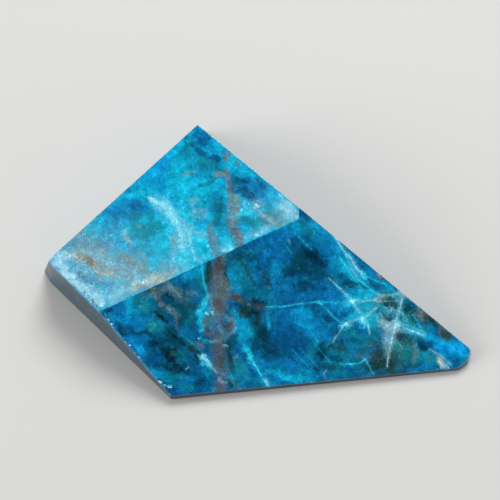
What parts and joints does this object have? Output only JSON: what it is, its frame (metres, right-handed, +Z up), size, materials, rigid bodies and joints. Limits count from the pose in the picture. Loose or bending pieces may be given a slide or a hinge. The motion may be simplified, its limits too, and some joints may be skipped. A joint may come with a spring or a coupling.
{
  "type": "polished blue apatite stone",
  "caption": "Polished freeform of blue apatite: a wedge of mottled blue stone with flat ground faces, a long sloping ridge and a flat base to lie on.",
  "frame": {"origin": "middle of the bounding box, on the plane of the flat base", "axes": "+Z up out of the base, +X along the longest side towards the thin point, -Y towards the low front lip"},
  "size_m": [0.1004, 0.0676, 0.0227],
  "materials": {
    "polished_apatite": "polished, glassy, mottled azure to navy blue with brown and white veins"
  },
  "bodies": {
    "root": {"apatite_stone": "polished_apatite"}
  },
  "joints": []
}
